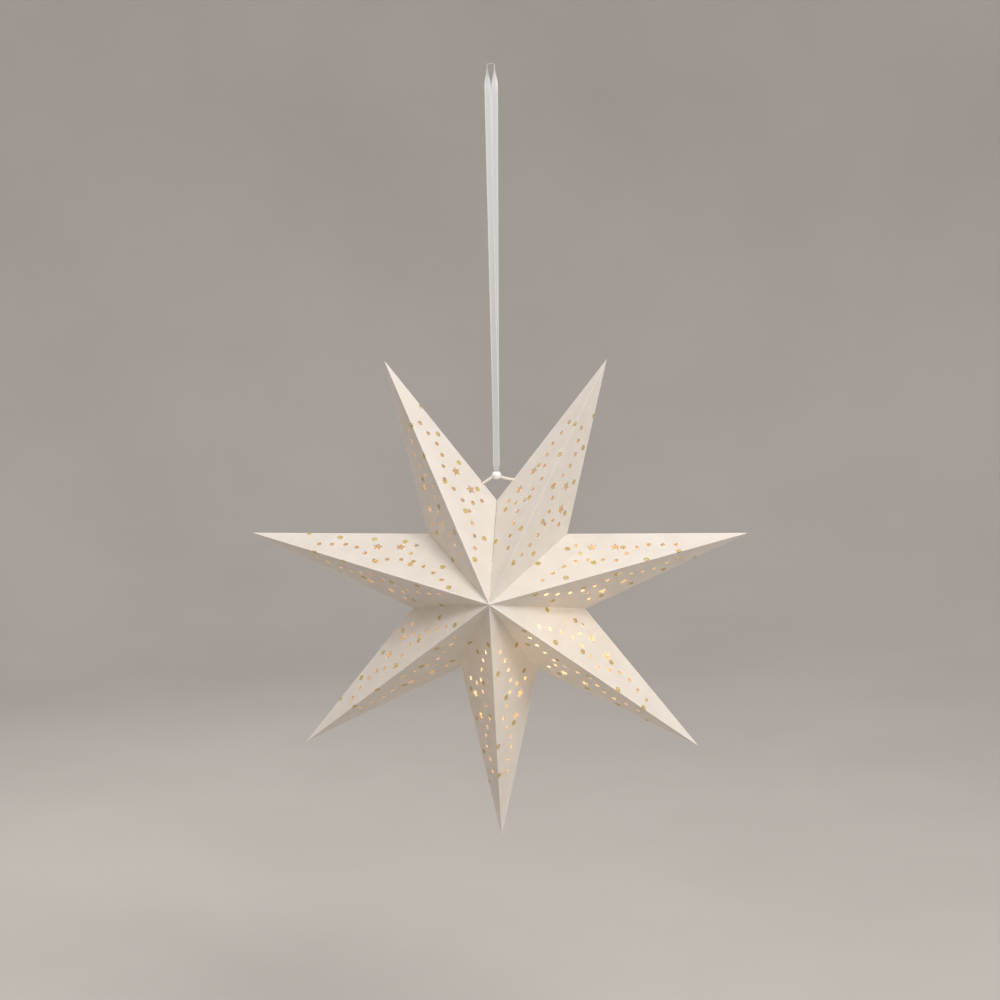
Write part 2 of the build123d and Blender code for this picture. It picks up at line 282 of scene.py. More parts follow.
# %% Card colours and gold dots
gold_dot_radius = 3.4
gold_dot_softness = 0.25
gold_dot_raggedness = 1.8
dots_side_a = [
    (0.802, 0.325),
    (0.730, -0.020),
    (0.683, 0.420),
    (0.605, -0.030),
    (0.560, 0.580),
    (0.493, 0.160),
    (0.446, 0.715),
    (0.367, 0.305),
    (0.250, 0.440),
    (0.177, 0.090),
]
dots_side_b = [
    (0.730, 0.020),
    (0.605, 0.030),
    (0.553, 0.400),
    (0.423, 0.260),
    (0.362, 0.690),
    (0.302, 0.110),
    (0.235, 0.550),
]
card_white = (0.86, 0.83, 0.785, 1)
card_warm = (0.82, 0.785, 0.73, 1)
# painted highlight: the creases are painted whiter, where light catches the fold
crease_highlight_white = (0.99, 0.965, 0.93, 1)
# the ends of the foil's painted glitter: bright glints and dark reflections mottled into the gold
foil_glint_gold = (1.0, 0.82, 0.40, 1)
foil_dark_reflection = (0.30, 0.20, 0.045, 1)
# painted shadow: a grey line along the top seam, where the two end panels overlap
seam_shadow_grey = (0.52, 0.49, 0.46, 1)
# painted lamp light: the warm emission of the card's inner faces, a little stronger towards the tips
no_painted_light = (0.0, 0.0, 0.0, 1)
painted_lamp_light_near_hub = (0.215, 0.125, 0.054, 1)
painted_lamp_light_near_tip = (0.235, 0.132, 0.056, 1)
card_translucency = 0.21
print("gold dots:", len(dots_side_a), "on side a and", len(dots_side_b), "on side b")

# %% Distances and dots on the flat card
ridge_mm = ridge / mm
waist_u_mm, waist_v_mm = waist_u / mm, waist_v / mm


def line_distance(place, start, end):
    """How far a place on the flat panel is from a straight crease, in millimetres."""
    u, v = place
    du, dv = end[0] - start[0], end[1] - start[1]
    size = math.hypot(du, dv)
    off_line = (u - start[0]) * (dv / size) - (v - start[1]) * (du / size)
    return off_line.absolute()


def nearest_dot(place, dots):
    """How far a place on the flat panel is from the nearest dot's centre, in millimetres."""
    reach = None
    for dot_u, dot_v in dots:
        centre = (dot_u * ridge_mm, dot_v * waist_v_mm, 0.0)
        away = place.vectors("DISTANCE", place, centre, output=1)
        reach = away if reach is None else away.maths("MINIMUM", reach, away)
    return reach


def panel_mark(start, name):
    """A number that the panel's mesh carries on its faces."""
    return start.add("ShaderNodeAttribute", {"attribute_name": name}, (), "Fac")


def foil_mask(start, place, glint_and_wear):
    """1 on the gold dots of the outer side, with a ragged edge and worn specks, and 0 elsewhere."""
    ragged = spread_noise(start, place, 1.6, 2.0, 0.6)
    reach_a, reach_b = nearest_dot(place, dots_side_a), nearest_dot(place, dots_side_b)
    reach = reach_a + (reach_b - reach_a) * panel_mark(start, "side_b")
    edge = reach + (ragged - 0.5) * gold_dot_raggedness
    dots = 1 - edge.smooth(gold_dot_radius - gold_dot_softness, gold_dot_radius + gold_dot_softness)
    return dots * panel_mark(start, "printed") * (1 - glint_and_wear.smooth(0.66, 0.74) * 0.6)


print("flat panel:", round(ridge_mm, 1), "by", round(waist_v_mm, 1), "mm")

# %% Card finish
# how far from a crease the painted crease highlight starts and ends, in mm, and its strength on the outer
# creases and on the valley
score_near, score_far = 0.3, 1.3
outer_highlight_weight, valley_highlight_weight = 0.8, 0.25
# reach from the valley, start and full strength along the ridge, and strength of the painted seam shadow
seam_shadow_far = 1.2
seam_shadow_starts, seam_shadow_full = 20.0, 70.0
seam_shadow_weight = 0.8


def card_finish():
    material, start = new_finish("punched_card")
    flat = start.add("ShaderNodeUVMap", {"uv_map": "UVMap"})
    place = flat.scaled(ridge_mm)
    u = place.add("ShaderNodeSeparateXYZ", (), {0: place})
    v = u.other(1)
    fibre = spread_noise(start, place, 0.9, 4.0, 0.62)
    cloud = spread_noise(start, place, 0.035, 2.0, 0.5)
    # one noise for the foil's painted glints, its worn specks and the card's roughness
    glint_and_wear = spread_noise(start, place, 0.75, 4.0, 0.7)
    foil = foil_mask(start, place, glint_and_wear)

    hub_corner, tip_corner, waist_corner = (0.0, 0.0), (ridge_mm, 0.0), (waist_u_mm, waist_v_mm)
    from_ridge = line_distance((u, v), hub_corner, tip_corner)
    from_valley = line_distance((u, v), hub_corner, waist_corner)
    from_side = line_distance((u, v), tip_corner, waist_corner)
    from_outer = from_ridge.maths("MINIMUM", from_ridge, from_side)
    # painted highlight: whiter along the ridge and side creases, and faintly along the valley
    crease_highlight = (1 - from_outer.smooth(score_near, score_far)) * outer_highlight_weight
    crease_highlight = crease_highlight + (1 - from_valley.smooth(score_near, score_far)) * valley_highlight_weight
    # painted shadow along the valley of the two panels at the top seam, growing from the hub towards the
    # waist
    seam = (1 - from_valley.smooth(score_near, seam_shadow_far)) * panel_mark(start, "seam")
    seam = seam * u.smooth(seam_shadow_starts, seam_shadow_full) * seam_shadow_weight

    white = cloud.smooth(0.3, 0.7).mix(card_white, card_warm)
    white = (fibre.smooth(0.56, 0.76) * 0.16).mix(white, card_warm)
    # the painted crease highlight goes over the card white, then the painted seam shadow over both
    white = seam.mix(crease_highlight.mix(white, crease_highlight_white), seam_shadow_grey)
    # painted glitter: the foil's colour mottles between dark reflections and bright glints
    gold = glint_and_wear.smooth(0.41, 0.59).mix(foil_dark_reflection, foil_glint_gold)
    colour = foil.mix(white, gold)
    height = fibre * 0.05 + cloud * 1.2 - foil * 0.02
    relief = start.add("ShaderNodeBump", (), {"Strength": 0.35, "Distance": 0.001, "Height": height})

    # painted lamp light: the inner faces glow warm, and only when seen from inside the star
    facing_out = 1 - start.add("ShaderNodeNewGeometry", (), (), "Backfacing")
    inner = panel_mark(start, "inner") * facing_out
    glow = (u / ridge_mm).smooth(0.2, 0.9).mix(painted_lamp_light_near_hub, painted_lamp_light_near_tip)
    face = start.add("ShaderNodeBsdfPrincipled", (), {
        "Base Color": colour,
        "Metallic": foil * 0.45,
        "Roughness": 0.72 - foil * 0.30 + glint_and_wear * 0.08,
        "Specular IOR Level": 0.3,
        "Emission Color": inner.mix(no_painted_light, glow),
        "Emission Strength": 1.0,
        "Normal": relief,
    })
    through = start.add("ShaderNodeBsdfTranslucent", (), {"Color": card_white})
    share = (1 - foil) * card_translucency
    both = start.add("ShaderNodeMixShader", (), {0: share, 1: face, 2: through})
    start.add("ShaderNodeOutputMaterial", (), {"Surface": both})
    return material


card_material = card_finish()
print("card finish:", len(card_material.node_tree.nodes), "nodes")

# %% [markdown]
# ## Punching the panels
# On the real star a die punches the holes and stars through flat card before it is scored and
# folded. The same is done here with Geometry Nodes. The drawing of one panel is an outline of edges
# and a loose point for each cut. The tree puts a circle or a star on every loose point, fills the
# outline around them and pulls the sheet up to the card's thickness. Then it leans the rim: each
# point of the outline says how far it moves between the card's inner and outer face, so that two
# panels meet in a mitre at their crease and can still fold.

# %% Tools for trees
merge_distance = 0.0001 * mm


def tree_with_inputs(name, inputs):
    """A Geometry Nodes tree with named inputs, its input node's wires and its start."""
    tree = bpy.data.node_groups.new(name, "GeometryNodeTree")
    tree.is_modifier = True
    for label, kind in inputs:
        tree.interface.new_socket(name=label, in_out="INPUT", socket_type=f"NodeSocket{kind}")
    tree.interface.new_socket(name="Made", in_out="OUTPUT", socket_type="NodeSocketGeometry")
    entry = tree.nodes.new("NodeGroupInput")
    return tree, Wire(tree), {label: Wire(tree, entry.outputs[label]) for label, kind in inputs}


def attribute(start, name, kind="FLOAT"):
    return start.add("GeometryNodeInputNamedAttribute", {"data_type": kind}, {"Name": name})


def finish_tree(start, made, material):
    """Every tree ends in real geometry that wears its material."""
    made = start.add("GeometryNodeRealizeInstances", (), {"Geometry": made})
    made = start.add("GeometryNodeSetMaterial", (), {"Geometry": made, "Material": material})
    start.add("NodeGroupOutput", (), {"Made": made})


def made_by(tree, drawing, given):
    """The plain mesh that a tree makes from a drawing and its named inputs."""
    holder = placed(tree.name, drawing)
    modifier = holder.modifiers.new(tree.name, "NODES")
    modifier.node_group = tree
    for socket in tree.interface.items_tree:
        if socket.name in given:
            modifier[socket.identifier] = given[socket.name]
    graph = bpy.context.evaluated_depsgraph_get()
    mesh = bpy.data.meshes.new_from_object(
        holder.evaluated_get(graph), preserve_all_data_layers=True, depsgraph=graph
    )
    holder.modifiers.remove(modifier)
    bpy.data.objects.remove(holder)
    return mesh


def closed_and_outward(mesh, smooth=False):
    """Merge doubles and turn every face outwards."""
    shape = bmesh.new()
    shape.from_mesh(mesh)
    bmesh.ops.remove_doubles(shape, verts=shape.verts, dist=merge_distance)
    bmesh.ops.recalc_face_normals(shape, faces=shape.faces)
    shape.to_mesh(mesh)
    shape.free()
    mesh.polygons.foreach_set("use_smooth", [smooth] * len(mesh.polygons))
    mesh.update()
    return mesh


print("doubles are merged within", merge_distance / mm, "mm")

# %% The punching tree
same_place = 0.002 * mm
nearly_half = 0.49


def punched_sheet(start, given):
    """The outline, filled around a circle or a star on every loose point of the drawing."""
    drawing = given["Drawing"]
    outline = start.add("GeometryNodeMeshToCurve", (), {"Mesh": drawing})
    size, pointed = attribute(start, "cut_radius"), attribute(start, "cut_star")
    circle = start.add(
        "GeometryNodeCurvePrimitiveCircle", (), {"Resolution": given["Hole Sides"], "Radius": 1.0}
    )
    star = start.add("GeometryNodeCurveStar", (), {
        "Points": given["Star Points"],
        "Inner Radius": given["Star Waist Share"],
        "Outer Radius": 1.0,
    })
    holes = start.add("GeometryNodeInstanceOnPoints", (), {
        "Points": drawing, "Selection": (size > 0.0) * (pointed < 0.5), "Instance": circle, "Scale": size,
    })
    stars = start.add("GeometryNodeInstanceOnPoints", (), {
        "Points": drawing, "Selection": pointed > 0.5, "Instance": star, "Scale": size,
    })
    cuts = start.add("GeometryNodeJoinGeometry", (), {"Geometry": [holes, stars]})
    cuts = start.add("GeometryNodeRealizeInstances", (), {"Geometry": cuts})
    lines = start.add("GeometryNodeJoinGeometry", (), {"Geometry": [outline, cuts]})
    return start.add("GeometryNodeFillCurve", (), {"Curve": lines})


def punching_tree():
    tree, start, given = tree_with_inputs("Punched panel", [
        ("Drawing", "Geometry"),
        ("Card", "Float"),
        ("Ridge", "Float"),
        ("Hole Sides", "Int"),
        ("Star Points", "Int"),
        ("Star Waist Share", "Float"),
        ("Outer Side", "Float"),
        ("Seam", "Float"),
        ("Side B", "Float"),
        ("Material", "Material"),
    ])
    drawing, thickness = given["Drawing"], given["Card"]
    sheet = punched_sheet(start, given)
    slab = start.add("GeometryNodeExtrudeMesh", {"mode": "FACES"}, {
        "Mesh": sheet, "Offset": (0.0, 0.0, 1.0), "Offset Scale": thickness, "Individual": False,
    })
    slab = start.add("GeometryNodeJoinGeometry", (), {"Geometry": [slab, sheet]})
    slab = start.add("GeometryNodeMergeByDistance", (), {"Geometry": slab, "Distance": same_place})

    position = start.add("GeometryNodeInputPosition")
    flat = position.vectors("MULTIPLY", position, (1.0, 1.0, 0.0))
    level = position.add("ShaderNodeSeparateXYZ", (), {0: position}).other(2) - thickness / 2
    outward = level * given["Outer Side"]
    sample = {0: drawing, "Sample Position": flat}
    near = start.add("GeometryNodeProximity", {"target_element": "POINTS"}, sample, "Distance")
    nearest = start.add("GeometryNodeSampleNearest", (), sample)
    lean = start.add("GeometryNodeSampleIndex", {"data_type": "FLOAT_VECTOR"}, {
        "Geometry": drawing, "Value": attribute(start, "lean", "FLOAT_VECTOR"), "Index": nearest,
    })
    leaned = lean.scaled((near < same_place) * outward / (thickness / 2))
    lifted = start.add("ShaderNodeCombineXYZ", (), {"Z": level})
    slab = start.add("GeometryNodeStoreNamedAttribute", {"data_type": "FLOAT2", "domain": "CORNER"}, {
        "Geometry": slab, "Name": "UVMap", "Value": flat.vectors("DIVIDE", flat, given["Ridge"]),
    })
    # printed marks the outer faces that carry the gold, inner the faces that carry the painted lamp light,
    # and seam the panels whose valley carries the painted seam shadow
    for name, mark in (
        ("printed", outward > thickness * nearly_half),
        ("inner", outward < thickness * -nearly_half),
        ("seam", given["Seam"]),
        ("side_b", given["Side B"]),
    ):
        slab = start.add("GeometryNodeStoreNamedAttribute", {"data_type": "FLOAT", "domain": "FACE"}, {
            "Geometry": slab, "Name": name, "Value": mark,
        })
    place = flat.vectors("ADD", flat.vectors("ADD", flat, leaned), lifted)
    slab = start.add("GeometryNodeSetPosition", (), {"Geometry": slab, "Position": place})
    finish_tree(start, slab, given["Material"])
    return tree


panel_tree = punching_tree()
print("punching tree:", len(panel_tree.nodes), "nodes")

# %% [markdown]
# ## The drawing of one panel
# Every panel has the same row of round holes, which zigzags from the tip to the waist and back to
# the hub, and two larger stars. The cuts are given in shares of the ridge and of the panel's depth,
# so they follow when the star changes size. Ridges and valleys close when the star is folded, so their
# rims lean as a mitre does. Side creases open flat, so theirs are cut square, back to where the inner
# faces meet. In front the waist corner is nicked, as scored card is, and lets a speck of light out.
# The four panels at the top seam are cut back a little, and their side edges have a bite for the tie
# cords.

# %% Cuts in a panel
hole_radius = 2.75 * mm
hole_sides = 20
star_points = 5
star_radius = 6.8 * mm
star_waist = 3.1 * mm
hole_row = [
    (0.736, 0.170), (0.691, 0.237), (0.645, 0.317), (0.598, 0.325), (0.553, 0.261),
    (0.503, 0.177), (0.459, 0.268), (0.411, 0.345), (0.395, 0.518), (0.398, 0.705),
    (0.365, 0.383), (0.316, 0.341), (0.267, 0.275), (0.220, 0.186),
]
star_cuts = [(0.527, 0.455), (0.448, 0.582)]
print("cuts in a panel:", len(hole_row), "holes and", len(star_cuts), "stars")

# %% Mitres at the creases
flat_hub = Vector((0, 0, 0))
flat_tip = Vector((ridge, 0, 0))
flat_waist = Vector((waist_u, waist_v, 0))
flat_middle = (flat_hub + flat_tip + flat_waist) / 3


def mitre(first, last, third, towards):
    """How far a panel's face leans at a crease, from the angle between the panel and the mitre."""
    along = (last - first).normalized()
    panel_way = third - first
    panel_way = panel_way - along * panel_way.dot(along)
    mitre_way = towards - first
    mitre_way = mitre_way - along * mitre_way.dot(along)
    return card / 2 / math.tan(panel_way.angle(mitre_way))


ridge_mitre = mitre(hub, tip, waist, star_centre)
valley_mitre = mitre(hub, waist, tip, hub * 2 - star_centre)
side_mitre = mitre(tip, waist, hub, star_centre)
print("mitres in mm:", [round(lean / mm, 3) for lean in (ridge_mitre, valley_mitre, side_mitre)])

# %% The outline of a panel
seam_gap = 0.12 * mm
crease_hair = 0.01 * mm
waist_nick = 2.4 * mm
# how far from the waist, along its side edge, a tie cord goes through a point
tie_places = {(1, "a"): 27 * mm, (points, "b"): 32 * mm}
tie_hole_radius = 2.6 * mm
tie_hole_steps = 10


def drawn_in(first, last, inset):
    """A side of the flat panel, moved towards its middle: a point on it, its direction and inward."""
    along = (last - first).normalized()
    inward = Vector((-along.y, along.x, 0))
    inward = inward if inward.dot(flat_middle - first) > 0 else -inward
    return first + inward * inset, along, inward


def meet(one, other):
    """Where two sides of the flat panel cross."""
    gap = other[0] - one[0]
    return one[0] + one[1] * (gap.cross(other[1]).z / one[1].cross(other[1]).z)


def outline_at(outer, face, tie_from_waist):
    """The panel's outline on its outer face, where outer is 1, or on its inner face, where it is -1."""
    at_ridge = drawn_in(flat_hub, flat_tip, crease_hair - outer * ridge_mitre)
    at_seam = seam_gap if tie_from_waist else 0
    at_valley = drawn_in(flat_hub, flat_waist, crease_hair + outer * valley_mitre + at_seam)
    at_side = drawn_in(flat_waist, flat_tip, crease_hair + side_mitre)
    corner = meet(at_valley, at_side)
    outline = [meet(at_ridge, at_valley), meet(at_ridge, at_side), corner]
    if tie_from_waist:
        start, along, inward = at_side
        outline[2:2] = [
            start + along * (tie_from_waist + tie_hole_radius * math.cos(turn))
            + inward * (tie_hole_radius * math.sin(turn))
            for turn in (math.pi * step / tie_hole_steps for step in range(tie_hole_steps + 1))
        ]
    elif face == "front":
        outline[2:] = [corner + at_side[1] * waist_nick, corner - at_valley[1] * waist_nick]
    return outline


def panel_drawing(face, tie_from_waist):
    """Outline edges, and one loose point for each cut, of a flat panel. Seam panels have a tie hole."""
    outer = outline_at(1, face, tie_from_waist)
    inner = outline_at(-1, face, tie_from_waist)
    outline = [(high + low) / 2 for high, low in zip(outer, inner)]
    lean = [(high - low) / 2 for high, low in zip(outer, inner)]
    cuts = [(u, v, hole_radius, 0.0) for u, v in hole_row]
    cuts += [(u, v, star_radius, 1.0) for u, v in star_cuts]
    places = outline + [Vector((u * ridge, v * waist_v, 0)) for u, v, size, pointed in cuts]
    edges = [(i, (i + 1) % len(outline)) for i in range(len(outline))]
    mesh = bpy.data.meshes.new("panel drawing")
    mesh.from_pydata(places, edges, [])
    for name, column in (("cut_radius", 2), ("cut_star", 3)):
        values = [0.0] * len(outline) + [cut[column] for cut in cuts]
        mesh.attributes.new(name, "FLOAT", "POINT").data.foreach_set("value", values)
    leans = [number for way in lean + [Vector((0, 0, 0))] * len(cuts) for number in way]
    mesh.attributes.new("lean", "FLOAT_VECTOR", "POINT").data.foreach_set("vector", leans)
    return mesh


print("outline of a front panel:", len(outline_at(1, "front", 0)), "corners")

# %% [markdown]
# ## Folding up the star
# Each flat panel is laid into its place by its own three corners: the ridge is its first direction
# and the waist its second. That is a turn without a mirror, so the faces stay outward. A panel rides
# on the body that folds at its creases and stands for the flat plate of the frame.

# %% Twenty-eight panels
for face in ("front", "back"):
    for k in range(1, points + 1):
        for side in ("a", "b"):
            hub, tip, waist = panel_corners(k, side, face)
            first = (tip - hub).normalized()
            second = (waist - hub - first * (waist - hub).dot(first)).normalized()
            third = first.cross(second)
            outward = -1.0 if face == "front" else 1.0
            tie_from_waist = tie_places.get((k, side), 0)
            mesh = made_by(panel_tree, panel_drawing(face, tie_from_waist), {
                "Card": card,
                "Ridge": ridge,
                "Hole Sides": hole_sides,
                "Star Points": star_points,
                "Star Waist Share": star_waist / star_radius,
                "Outer Side": 1.0 if third.y * outward > 0 else -1.0,
                "Seam": 1.0 if tie_from_waist else 0.0,
                "Side B": 1.0 if side == "b" else 0.0,
                "Material": card_material,
            })
            mesh.transform(laid_at(hub, first, second, third))
            panel = placed(f"card_{k}_{face}_{side}", closed_and_outward(mesh))
            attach(panel, f"point_{k}_{face}_{side}")
            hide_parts(f"point_{k}_{face}_panel_{side}")
print("panels made, the last with", len(panel.data.polygons), "faces")

# %% [markdown]
# ## Ribbon and cord finishes
# The ribbon is a thin sheer band with two denser selvedges, woven in fine cross ribs. Its own map
# runs across and along it, so the weave turns with the strand. The tie cords are cotton: matt, with
# short fibres. The bead is glossy white.

# %% Ribbon finish
ribbon_grey = (0.78, 0.795, 0.81, 1)
ribbon_pale = (0.83, 0.845, 0.86, 1)
rib_white = (0.87, 0.885, 0.90, 1)
selvedge_white = (0.97, 0.97, 0.965, 1)
ribbon_shade = (0.80, 0.82, 0.84, 1)
ribbon_translucency = 0.35
rib_rate, thread_rate = 120.0, 90.0


def ribbon_finish():
    material, start = new_finish("sheer_ribbon")
    flat = start.add("ShaderNodeUVMap", {"uv_map": "UVMap"})
    u = start.add("ShaderNodeSeparateXYZ", (), {0: flat})
    v = u.other(1)
    selvedge = (u * 2.0 - 1.0).absolute().smooth(0.66, 0.76)
    ribs, threads = (v * rib_rate).sine(), (u * thread_rate).sine()
    cloud = spread_noise(start, flat, 3.0)
    body = cloud.smooth(0.3, 0.7).mix(ribbon_grey, ribbon_pale)
    body = (ribs.smooth(-1.0, 1.0) * 0.22).mix(body, rib_white)
    colour = selvedge.mix(body, selvedge_white)
    weave = ribs * 0.4 + threads * 0.2 + selvedge * 1.5
    relief = start.add("ShaderNodeBump", (), {"Strength": 0.4, "Distance": 0.0002, "Height": weave})
    face = start.add("ShaderNodeBsdfPrincipled", (), {
        "Base Color": colour,
        "Roughness": 0.42 + selvedge * 0.12,
        "Sheen Weight": 0.35,
        "Sheen Roughness": 0.4,
        "Normal": relief,
    })
    through = start.add("ShaderNodeBsdfTranslucent", (), {"Color": ribbon_shade})
    both = start.add("ShaderNodeMixShader", (), {0: ribbon_translucency, 1: face, 2: through})
    start.add("ShaderNodeOutputMaterial", (), {"Surface": both})
    return material


ribbon_material = ribbon_finish()
print("ribbon finish:", len(ribbon_material.node_tree.nodes), "nodes")

# %% Cord and bead finishes
cotton_cream = (0.88, 0.82, 0.72, 1)
cotton_pale = (0.97, 0.93, 0.86, 1)
cotton_white = (0.99, 0.96, 0.90, 1)
bead_shade = (0.86, 0.87, 0.89, 1)
bead_white = (0.93, 0.935, 0.94, 1)


def cord_finish():
    material, start = new_finish("cotton_cord")
    place = start.add("ShaderNodeTexCoord", (), (), "Object")
    fibre = spread_noise(start, place, 2600.0, 4.0, 0.65)
    cloud = spread_noise(start, place, 420.0)
    colour = fibre.smooth(0.35, 0.7).mix(cotton_cream, cotton_pale)
    colour = (cloud.smooth(0.4, 0.7) * 0.35).mix(colour, cotton_white)
    relief = start.add("ShaderNodeBump", (), {"Strength": 0.5, "Distance": 0.0002, "Height": fibre})
    face = start.add("ShaderNodeBsdfPrincipled", (), {
        "Base Color": colour, "Roughness": 0.8 + cloud * 0.15, "Sheen Weight": 0.3, "Normal": relief,
    })
    start.add("ShaderNodeOutputMaterial", (), {"Surface": face})
    return material


def bead_finish():
    material, start = new_finish("white_bead")
    place = start.add("ShaderNodeTexCoord", (), (), "Object")
    cloud = spread_noise(start, place, 240.0)
    fine = spread_noise(start, place, 1500.0, 2.0, 0.5)
    colour = cloud.smooth(0.35, 0.65).mix(bead_shade, bead_white)
    relief = start.add("ShaderNodeBump", (), {"Strength": 0.08, "Distance": 0.0002, "Height": fine})
    face = start.add("ShaderNodeBsdfPrincipled", (), {
        "Base Color": colour,
        "Roughness": 0.16 + fine * 0.14,
        "Coat Weight": 0.4,
        "Coat Roughness": 0.1,
        "Normal": relief,
    })
    start.add("ShaderNodeOutputMaterial", (), {"Surface": face})
    return material


cord_material, bead_material = cord_finish(), bead_finish()
print("finishes ready:", cord_material.name, "and", bead_material.name)

# %% [markdown]
# ## The hanging ribbon
# One long ribbon comes up from the bead, loops over whatever holds it and goes down again. It is
# made as its two strands, left and right, which lie on each other above the bead and part higher up.
# A few chosen points guide a smooth spline, which is the strand's line. The flat band follows it, is
# gathered in pleats at the bead and makes a quarter turn below the loop.

# %% Ribbon route
strand_steps = 20
left_route = [
    (0, -0.65, -474.3),
    (0, -0.65, -466.0),
    (0, -0.45, -455.0),
    (0, -0.45, -392.8),
    (-3.89, -0.45, -33.0),
    (-4.2, 0, -4.0),
    (-4.2, 0, 0.2),
    (0, 0, 0.2),
]
right_route = [(-x, -y, z) for x, y, z in left_route]


def route_points(name, route, steps):
    """Points along the smooth line that a route in millimetres makes."""
    curve = bpy.data.curves.new(name, "CURVE")
    curve.dimensions = "3D"
    curve.resolution_u = steps
    spline = curve.splines.new("NURBS")
    spline.points.add(len(route) - 1)
    for point, place in zip(spline.points, route):
        point.co = (place[0] * mm, place[1] * mm, place[2] * mm, 1)
    spline.order_u = 3
    spline.use_endpoint_u = True
    holder = placed(name, curve)
    graph = bpy.context.evaluated_depsgraph_get()
    line = bpy.data.meshes.new_from_object(holder.evaluated_get(graph), depsgraph=graph)
    places = [vertex.co.copy() for vertex in line.vertices]
    bpy.data.objects.remove(holder)
    bpy.data.meshes.remove(line)
    return places


print("ribbon route:", len(left_route), "chosen points in each strand")

# %% A flat band along a line
ribbon_width = 7.6 * mm
gathered_width = 4.4 * mm
ribbon_half = 0.17 * mm
selvedge_half = 0.22 * mm
edge_half = 0.05 * mm
selvedge_starts = 0.82
half_width_steps = 10
gather_low, gather_high = -470 * mm, -461.5 * mm
turn_low, turn_high = -33 * mm, -4 * mm
pleat_height = 0.28 * mm
pleat_length = 40 * mm
pleats = 3


def soft_step(value, low, high):
    """0 below low, 1 above high and a soft step between them."""
    share = min(max((value - low) / (high - low), 0.0), 1.0)
    return share * share * (3 - 2 * share)


def direction_at(places, i):
    """Where a line of points goes at one of them."""
    return (places[min(i + 1, len(places) - 1)] - places[max(i - 1, 0)]).normalized()


def ribbon_strand(name, route):
    """A flat band along a route, with its line and its length."""
    line = route_points(name, route, strand_steps)
    shares = [step / half_width_steps - 1 for step in range(2 * half_width_steps + 1)]
    places, maps, faces, run = [], [], [], 0.0
    for i, here in enumerate(line):
        run += (here - line[i - 1]).length if i else 0.0
        ahead = direction_at(line, i)
        turn = math.pi / 2 * soft_step(here.z, turn_low, turn_high)
        wide = Vector((math.cos(turn), math.sin(turn), 0))
        wide = (wide - ahead * wide.dot(ahead)).normalized()
        out = ahead.cross(wide)
        spread = soft_step(here.z, gather_low, gather_high)
        width = gathered_width + (ribbon_width - gathered_width) * spread
        pleat = pleat_height * (1 - soft_step(here.z, gather_low, gather_low + pleat_length))
        for side in (1, -1):
            for share in shares if side > 0 else reversed(shares):
                thick = selvedge_half if abs(share) > selvedge_starts else ribbon_half
                thick = edge_half if abs(share) == 1 else thick
                lift = pleat * math.cos(share * pleats * math.pi) + side * thick
                places.append(here + wide * (share * width / 2) + out * lift)
                maps.append(((share + 1) / 2, run / ribbon_width))
    ring = 2 * len(shares)
    for i in range(len(line) - 1):
        for j in range(ring):
            low, high = i * ring, (i + 1) * ring
            faces.append((low + j, low + (j + 1) % ring, high + (j + 1) % ring, high + j))
    last = (len(line) - 1) * ring
    faces += [tuple(range(ring - 1, -1, -1)), tuple(range(last, last + ring))]
    mesh = bpy.data.meshes.new(name)
    mesh.from_pydata(places, [], faces)
    layer = mesh.uv_layers.new(name="UVMap")
    for loop in mesh.loops:
        layer.data[loop.index].uv = maps[loop.vertex_index]
    mesh.materials.append(ribbon_material)
    return placed(name, closed_and_outward(mesh, smooth=True)), line, run


print("ribbon width in mm:", round(ribbon_width / mm, 1), "and in the bead", round(gathered_width / mm, 1))

# %% Two ribbon strands
for name, route in (("ribbon_left_strand", left_route), ("ribbon_right_strand", right_route)):
    strand, line, run = ribbon_strand(name, route)
    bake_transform(strand)
    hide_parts("ribbon")
    print(name, "is", round(run, 4), "m long")

# %% [markdown]
# ## The bead
# A small flattened bead with a hole gathers the ribbon and the tie cords. It is turned like a wooden
# bead on a lathe: one closed profile, carried round the upright axis.

# %% Bead
bead_low, bead_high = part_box("bead")
bead_centre = (bead_low + bead_high) / 2
bead_radius = (bead_high.x - bead_low.x) / 2
bead_rise = (bead_high.z - bead_low.z) / 2
bead_sides = 64
profile_steps = 14
bore_radius = 2.5 * mm
lip_width = 0.3 * mm
# the rounded edge of the bore: how much wider than the bore, and how deep in it
bore_edge = [(0.08 * mm, 0.12 * mm), (0.0, 0.5 * mm)]


def turned(name, profile, centre, steps, material):
    """A closed profile of radius and height, turned about an upright axis."""
    count = len(profile)
    places, faces = [], []
    for step in range(steps):
        turn = math.tau * step / steps
        for radius, height in profile:
            places.append(centre + Vector((radius * math.cos(turn), radius * math.sin(turn), height)))
    for step in range(steps):
        here, after = step * count, (step + 1) % steps * count
        for i in range(count):
            j = (i + 1) % count
            faces.append((here + i, after + i, after + j, here + j))
    mesh = bpy.data.meshes.new(name)
    mesh.from_pydata(places, [], faces)
    mesh.materials.append(material)
    return placed(name, closed_and_outward(mesh, smooth=True))


lip = math.acos((bore_radius + lip_width) / bead_radius)
bead_profile = [
    (bead_radius * math.cos(turn), bead_rise * math.sin(turn) / math.sin(lip))
    for turn in (lip * step / profile_steps for step in range(-profile_steps, profile_steps + 1))
]
bead_profile += [(bore_radius + wider, bead_rise - deep) for wider, deep in bore_edge]
bead_profile += [(bore_radius + wider, deep - bead_rise) for wider, deep in reversed(bore_edge)]
bead = turned("glossy_bead", bead_profile, bead_centre, bead_sides, bead_material)
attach(bead, "point_1_front_a")
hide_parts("bead")
print("bead:", len(bead.data.polygons), "faces")

# %% [markdown]
# ## Tie cords and knots
# Two short cotton cords go from the bead through the side edges of the two top points and are
# knotted inside. A laid cord is some round plies turned about each other. Geometry Nodes carry the
# ring of plies along the cord's line and tilt it a little more with every step, which lays the rope.

